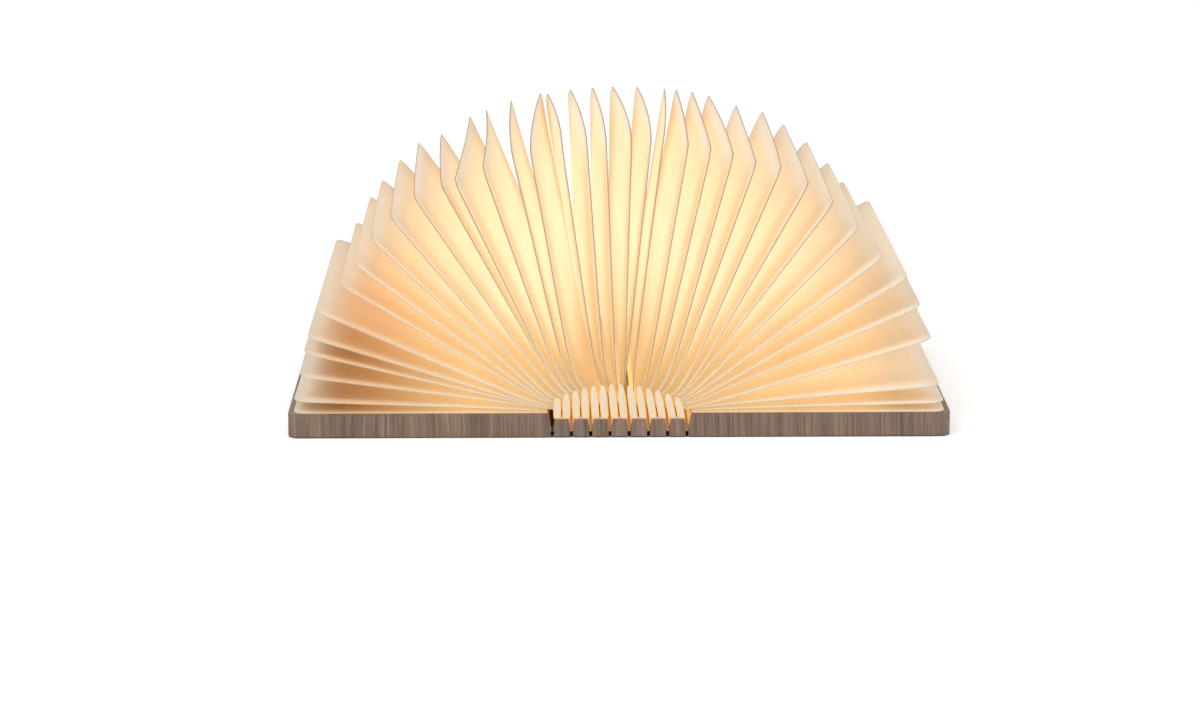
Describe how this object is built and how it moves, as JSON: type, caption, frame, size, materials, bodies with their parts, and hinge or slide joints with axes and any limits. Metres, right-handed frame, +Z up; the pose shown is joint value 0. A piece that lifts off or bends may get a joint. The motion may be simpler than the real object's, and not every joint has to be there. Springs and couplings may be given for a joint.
{
  "type": "folding book lamp",
  "caption": "Folding lamp shaped like a book: wooden covers and a slatted spine that opens a fan of glowing paper leaves, run by a rechargeable cell in one cover.",
  "frame": {"origin": "middle of the underside, below the middle slat of the spine, with the lamp lying open flat on its covers", "axes": "+X across the open covers towards the cover that holds the battery, +Y along the spine towards the end with the charging socket, +Z up"},
  "size_m": [0.1756, 0.112, 0.0783],
  "materials": {
    "wood": "satin",
    "leaf_paper": "matte",
    "soft_strip": "matte",
    "hinge_cloth": "matte",
    "magnet": "polished",
    "cell_pouch": "satin",
    "board": "satin",
    "socket_steel": "satin",
    "led": "matte"
  },
  "bodies": {
    "spine_centre": {"slat_4": "wood", "root_strip_4": "soft_strip", "led_strip": "led", "hinge_strips": "hinge_cloth"},
    "left_slat_1": {"slat_3": "wood", "root_strip_3": "soft_strip"},
    "left_slat_2": {"slat_2": "wood", "root_strip_2": "soft_strip"},
    "left_slat_3": {"slat_1": "wood", "root_strip_1": "soft_strip"},
    "left_cover": {"left_cover": "wood", "left_endpaper": "leaf_paper", "left_magnets": "magnet"},
    "right_slat_1": {"slat_5": "wood", "root_strip_5": "soft_strip"},
    "right_slat_2": {"slat_6": "wood", "root_strip_6": "soft_strip"},
    "right_slat_3": {"slat_7": "wood", "root_strip_7": "soft_strip"},
    "right_cover": {"right_cover": "wood", "right_endpaper": "leaf_paper", "right_magnets": "magnet", "battery": "cell_pouch", "control_board": "board", "charging_socket": "socket_steel"},
    "leaf_1": {"leaf_1": "leaf_paper"},
    "leaf_2": {"leaf_2": "leaf_paper"},
    "leaf_3": {"leaf_3": "leaf_paper"},
    "leaf_4": {"leaf_4": "leaf_paper"},
    "leaf_5": {"leaf_5": "leaf_paper"},
    "leaf_6": {"leaf_6": "leaf_paper"},
    "leaf_7": {"leaf_7": "leaf_paper"},
    "leaf_8": {"leaf_8": "leaf_paper"},
    "leaf_9": {"leaf_9": "leaf_paper"},
    "leaf_10": {"leaf_10": "leaf_paper"},
    "leaf_11": {"leaf_11": "leaf_paper"},
    "leaf_12": {"leaf_12": "leaf_paper"},
    "leaf_13": {"leaf_13": "leaf_paper"},
    "leaf_14": {"leaf_14": "leaf_paper"},
    "leaf_15": {"leaf_15": "leaf_paper"},
    "leaf_16": {"leaf_16": "leaf_paper"},
    "leaf_17": {"leaf_17": "leaf_paper"},
    "leaf_18": {"leaf_18": "leaf_paper"},
    "leaf_19": {"leaf_19": "leaf_paper"},
    "leaf_20": {"leaf_20": "leaf_paper"},
    "leaf_21": {"leaf_21": "leaf_paper"},
    "leaf_22": {"leaf_22": "leaf_paper"},
    "leaf_23": {"leaf_23": "leaf_paper"},
    "leaf_24": {"leaf_24": "leaf_paper"},
    "leaf_25": {"leaf_25": "leaf_paper"},
    "leaf_26": {"leaf_26": "leaf_paper"},
    "leaf_27": {"leaf_27": "leaf_paper"},
    "leaf_28": {"leaf_28": "leaf_paper"},
    "leaf_29": {"leaf_29": "leaf_paper"},
    "leaf_30": {"leaf_30": "leaf_paper"},
    "leaf_31": {"leaf_31": "leaf_paper"},
    "leaf_32": {"leaf_32": "leaf_paper"},
    "leaf_33": {"leaf_33": "leaf_paper"},
    "leaf_34": {"leaf_34": "leaf_paper"},
    "leaf_35": {"leaf_35": "leaf_paper"}
  },
  "joints": [
    {"name": "left_fold", "type": "hinge", "parent": "spine_centre", "child": "left_slat_1", "pos_m": [-0.00255, 0, 0.0013], "axis": [0, 1, 0], "range_deg": [-24.6, 22.5], "deforming": ["root_strip_1", "root_strip_2", "root_strip_3", "root_strip_4", "hinge_strips"]},
    {"name": "left_slat_2_hinge", "type": "hinge", "parent": "left_slat_1", "child": "left_slat_2", "pos_m": [-0.00765, 0, 0.0013], "axis": [0, 1, 0], "range_deg": [-24.6, 22.5]},
    {"name": "left_slat_3_hinge", "type": "hinge", "parent": "left_slat_2", "child": "left_slat_3", "pos_m": [-0.01275, 0, 0.0013], "axis": [0, 1, 0], "range_deg": [-24.6, 22.5]},
    {"name": "left_cover_hinge", "type": "hinge", "parent": "left_slat_3", "child": "left_cover", "pos_m": [-0.01785, 0, 0.0013], "axis": [0, 1, 0], "range_deg": [-24.6, 22.5]},
    {"name": "right_fold", "type": "hinge", "parent": "spine_centre", "child": "right_slat_1", "pos_m": [0.00255, 0, 0.0013], "axis": [0, -1, 0], "range_deg": [-24.6, 22.5], "deforming": ["root_strip_5", "root_strip_6", "root_strip_7", "hinge_strips"]},
    {"name": "right_slat_2_hinge", "type": "hinge", "parent": "right_slat_1", "child": "right_slat_2", "pos_m": [0.00765, 0, 0.0013], "axis": [0, -1, 0], "range_deg": [-24.6, 22.5]},
    {"name": "right_slat_3_hinge", "type": "hinge", "parent": "right_slat_2", "child": "right_slat_3", "pos_m": [0.01275, 0, 0.0013], "axis": [0, -1, 0], "range_deg": [-24.6, 22.5]},
    {"name": "right_cover_hinge", "type": "hinge", "parent": "right_slat_3", "child": "right_cover", "pos_m": [0.01785, 0, 0.0013], "axis": [0, -1, 0], "range_deg": [-24.6, 22.5]},
    {"name": "leaf_1_hinge", "type": "hinge", "parent": "left_cover", "child": "leaf_1", "pos_m": [-0.02145, 0, 0.00665], "axis": [0, 1, 0], "range_deg": [-2.02, 2.2]},
    {"name": "leaf_2_hinge", "type": "hinge", "parent": "left_slat_3", "child": "leaf_2", "pos_m": [-0.01574, 0, 0.00669], "axis": [0, 1, 0], "range_deg": [-16.96, 15.52]},
    {"name": "leaf_3_hinge", "type": "hinge", "parent": "left_slat_3", "child": "leaf_3", "pos_m": [-0.01545, 0, 0.00705], "axis": [0, 1, 0], "range_deg": [-11.5, 10.52]},
    {"name": "leaf_4_hinge", "type": "hinge", "parent": "left_slat_3", "child": "leaf_4", "pos_m": [-0.01515, 0, 0.0074], "axis": [0, 1, 0], "range_deg": [-7.67, 7.01]},
    {"name": "leaf_5_hinge", "type": "hinge", "parent": "left_slat_3", "child": "leaf_5", "pos_m": [-0.01486, 0, 0.00775], "axis": [0, 1, 0], "range_deg": [-1.66, 1.52]},
    {"name": "leaf_6_hinge", "type": "hinge", "parent": "left_slat_2", "child": "leaf_6", "pos_m": [-0.01105, 0, 0.00751], "axis": [0, 1, 0], "range_deg": [-20.79, 19.01]},
    {"name": "leaf_7_hinge", "type": "hinge", "parent": "left_slat_2", "child": "leaf_7", "pos_m": [-0.01062, 0, 0.00771], "axis": [0, 1, 0], "range_deg": [-13.68, 12.52]},
    {"name": "leaf_8_hinge", "type": "hinge", "parent": "left_slat_2", "child": "leaf_8", "pos_m": [-0.0102, 0, 0.00791], "axis": [0, 1, 0], "range_deg": [-7.67, 7.01]},
    {"name": "leaf_9_hinge", "type": "hinge", "parent": "left_slat_2", "child": "leaf_9", "pos_m": [-0.00978, 0, 0.0081], "axis": [0, 1, 0], "range_deg": [-1.11, 1.01]},
    {"name": "leaf_10_hinge", "type": "hinge", "parent": "left_slat_2", "child": "leaf_10", "pos_m": [-0.00935, 0, 0.0083], "axis": [0, 1, 0], "range_deg": [-5.01, 5.48]},
    {"name": "leaf_11_hinge", "type": "hinge", "parent": "left_slat_1", "child": "leaf_11", "pos_m": [-0.00602, 0, 0.0083], "axis": [0, 1, 0], "range_deg": [-14.77, 13.51]},
    {"name": "leaf_12_hinge", "type": "hinge", "parent": "left_slat_1", "child": "leaf_12", "pos_m": [-0.00556, 0, 0.00834], "axis": [0, 1, 0], "range_deg": [-9.86, 9.01]},
    {"name": "leaf_13_hinge", "type": "hinge", "parent": "left_slat_1", "child": "leaf_13", "pos_m": [-0.0051, 0, 0.00838], "axis": [0, 1, 0], "range_deg": [-3.84, 3.52]},
    {"name": "leaf_14_hinge", "type": "hinge", "parent": "left_slat_1", "child": "leaf_14", "pos_m": [-0.00464, 0, 0.00842], "axis": [0, 1, 0], "range_deg": [-2.51, 2.75]},
    {"name": "leaf_15_hinge", "type": "hinge", "parent": "left_slat_1", "child": "leaf_15", "pos_m": [-0.00418, 0, 0.00846], "axis": [0, 1, 0], "range_deg": [-7.51, 8.21]},
    {"name": "leaf_16_hinge", "type": "hinge", "parent": "spine_centre", "child": "leaf_16", "pos_m": [-0.00088, 0, 0.0088], "axis": [0, 1, 0], "range_deg": [-13.13, 12.01]},
    {"name": "leaf_17_hinge", "type": "hinge", "parent": "spine_centre", "child": "leaf_17", "pos_m": [-0.00044, 0, 0.0088], "axis": [0, 1, 0], "range_deg": [-8.76, 8.02]},
    {"name": "leaf_18_hinge", "type": "hinge", "parent": "spine_centre", "child": "leaf_18", "pos_m": [0, 0, 0.0088], "axis": [0, 1, 0], "range_deg": [-3.84, 3.52]},
    {"name": "leaf_19_hinge", "type": "hinge", "parent": "spine_centre", "child": "leaf_19", "pos_m": [0.00044, 0, 0.0088], "axis": [0, -1, 0], "range_deg": [-1.11, 1.01]},
    {"name": "leaf_20_hinge", "type": "hinge", "parent": "spine_centre", "child": "leaf_20", "pos_m": [0.00088, 0, 0.0088], "axis": [0, -1, 0], "range_deg": [-6.03, 5.51]},
    {"name": "leaf_21_hinge", "type": "hinge", "parent": "right_slat_1", "child": "leaf_21", "pos_m": [0.00418, 0, 0.00846], "axis": [0, -1, 0], "range_deg": [-14.51, 15.87]},
    {"name": "leaf_22_hinge", "type": "hinge", "parent": "right_slat_1", "child": "leaf_22", "pos_m": [0.00464, 0, 0.00842], "axis": [0, -1, 0], "range_deg": [-11.02, 12.04]},
    {"name": "leaf_23_hinge", "type": "hinge", "parent": "right_slat_1", "child": "leaf_23", "pos_m": [0.0051, 0, 0.00838], "axis": [0, -1, 0], "range_deg": [-7.01, 7.67]},
    {"name": "leaf_24_hinge", "type": "hinge", "parent": "right_slat_1", "child": "leaf_24", "pos_m": [0.00556, 0, 0.00834], "axis": [0, -1, 0], "range_deg": [-3.01, 3.29]},
    {"name": "leaf_25_hinge", "type": "hinge", "parent": "right_slat_1", "child": "leaf_25", "pos_m": [0.00602, 0, 0.0083], "axis": [0, -1, 0], "range_deg": [-2.75, 2.51]},
    {"name": "leaf_26_hinge", "type": "hinge", "parent": "right_slat_2", "child": "leaf_26", "pos_m": [0.00935, 0, 0.0083], "axis": [0, -1, 0], "range_deg": [-16.51, 18.05]},
    {"name": "leaf_27_hinge", "type": "hinge", "parent": "right_slat_2", "child": "leaf_27", "pos_m": [0.00978, 0, 0.0081], "axis": [0, -1, 0], "range_deg": [-11.02, 12.04]},
    {"name": "leaf_28_hinge", "type": "hinge", "parent": "right_slat_2", "child": "leaf_28", "pos_m": [0.0102, 0, 0.00791], "axis": [0, -1, 0], "range_deg": [-4.51, 4.94]},
    {"name": "leaf_29_hinge", "type": "hinge", "parent": "right_slat_2", "child": "leaf_29", "pos_m": [0.01062, 0, 0.00771], "axis": [0, -1, 0], "range_deg": [-3.29, 3.01]},
    {"name": "leaf_30_hinge", "type": "hinge", "parent": "right_slat_2", "child": "leaf_30", "pos_m": [0.01105, 0, 0.00751], "axis": [0, -1, 0], "range_deg": [-10.4, 9.51]},
    {"name": "leaf_31_hinge", "type": "hinge", "parent": "right_slat_3", "child": "leaf_31", "pos_m": [0.01486, 0, 0.00775], "axis": [0, -1, 0], "range_deg": [-7.51, 8.21]},
    {"name": "leaf_32_hinge", "type": "hinge", "parent": "right_slat_3", "child": "leaf_32", "pos_m": [0.01515, 0, 0.0074], "axis": [0, -1, 0], "range_deg": [-1.01, 1.11]},
    {"name": "leaf_33_hinge", "type": "hinge", "parent": "right_slat_3", "child": "leaf_33", "pos_m": [0.01545, 0, 0.00705], "axis": [0, -1, 0], "range_deg": [-8.21, 7.51]},
    {"name": "leaf_34_hinge", "type": "hinge", "parent": "right_slat_3", "child": "leaf_34", "pos_m": [0.01574, 0, 0.00669], "axis": [0, -1, 0], "range_deg": [-18.05, 16.51]},
    {"name": "leaf_35_hinge", "type": "hinge", "parent": "right_cover", "child": "leaf_35", "pos_m": [0.02145, 0, 0.00665], "axis": [0, -1, 0], "range_deg": [-1.52, 1.66]}
  ],
  "couplings": [
    {"joint": "left_slat_2_hinge", "follows": "left_fold", "ratio": 1},
    {"joint": "left_slat_3_hinge", "follows": "left_fold", "ratio": 1},
    {"joint": "left_cover_hinge", "follows": "left_fold", "ratio": 1},
    {"joint": "right_slat_2_hinge", "follows": "right_fold", "ratio": 1},
    {"joint": "right_slat_3_hinge", "follows": "right_fold", "ratio": 1},
    {"joint": "right_cover_hinge", "follows": "right_fold", "ratio": 1},
    {"joint": "leaf_1_hinge", "follows": "left_fold", "ratio": -0.08889},
    {"joint": "leaf_2_hinge", "follows": "left_fold", "ratio": 0.68889},
    {"joint": "leaf_3_hinge", "follows": "left_fold", "ratio": 0.46667},
    {"joint": "leaf_4_hinge", "follows": "left_fold", "ratio": 0.31111},
    {"joint": "leaf_5_hinge", "follows": "left_fold", "ratio": 0.06667},
    {"joint": "leaf_6_hinge", "follows": "left_fold", "ratio": 0.84444},
    {"joint": "leaf_7_hinge", "follows": "left_fold", "ratio": 0.55556},
    {"joint": "leaf_8_hinge", "follows": "left_fold", "ratio": 0.31111},
    {"joint": "leaf_9_hinge", "follows": "left_fold", "ratio": 0.04444},
    {"joint": "leaf_10_hinge", "follows": "left_fold", "ratio": -0.22222},
    {"joint": "leaf_11_hinge", "follows": "left_fold", "ratio": 0.6},
    {"joint": "leaf_12_hinge", "follows": "left_fold", "ratio": 0.4},
    {"joint": "leaf_13_hinge", "follows": "left_fold", "ratio": 0.15556},
    {"joint": "leaf_14_hinge", "follows": "left_fold", "ratio": -0.11111},
    {"joint": "leaf_15_hinge", "follows": "left_fold", "ratio": -0.33333},
    {"joint": "leaf_16_hinge", "follows": "left_fold", "ratio": 0.53333},
    {"joint": "leaf_17_hinge", "follows": "left_fold", "ratio": 0.35556},
    {"joint": "leaf_18_hinge", "follows": "left_fold", "ratio": 0.15556},
    {"joint": "leaf_19_hinge", "follows": "right_fold", "ratio": 0.04444},
    {"joint": "leaf_20_hinge", "follows": "right_fold", "ratio": 0.24444},
    {"joint": "leaf_21_hinge", "follows": "right_fold", "ratio": -0.64444},
    {"joint": "leaf_22_hinge", "follows": "right_fold", "ratio": -0.48889},
    {"joint": "leaf_23_hinge", "follows": "right_fold", "ratio": -0.31111},
    {"joint": "leaf_24_hinge", "follows": "right_fold", "ratio": -0.13333},
    {"joint": "leaf_25_hinge", "follows": "right_fold", "ratio": 0.11111},
    {"joint": "leaf_26_hinge", "follows": "right_fold", "ratio": -0.73333},
    {"joint": "leaf_27_hinge", "follows": "right_fold", "ratio": -0.48889},
    {"joint": "leaf_28_hinge", "follows": "right_fold", "ratio": -0.2},
    {"joint": "leaf_29_hinge", "follows": "right_fold", "ratio": 0.13333},
    {"joint": "leaf_30_hinge", "follows": "right_fold", "ratio": 0.42222},
    {"joint": "leaf_31_hinge", "follows": "right_fold", "ratio": -0.33333},
    {"joint": "leaf_32_hinge", "follows": "right_fold", "ratio": -0.04444},
    {"joint": "leaf_33_hinge", "follows": "right_fold", "ratio": 0.33333},
    {"joint": "leaf_34_hinge", "follows": "right_fold", "ratio": 0.73333},
    {"joint": "leaf_35_hinge", "follows": "right_fold", "ratio": -0.06667}
  ]
}
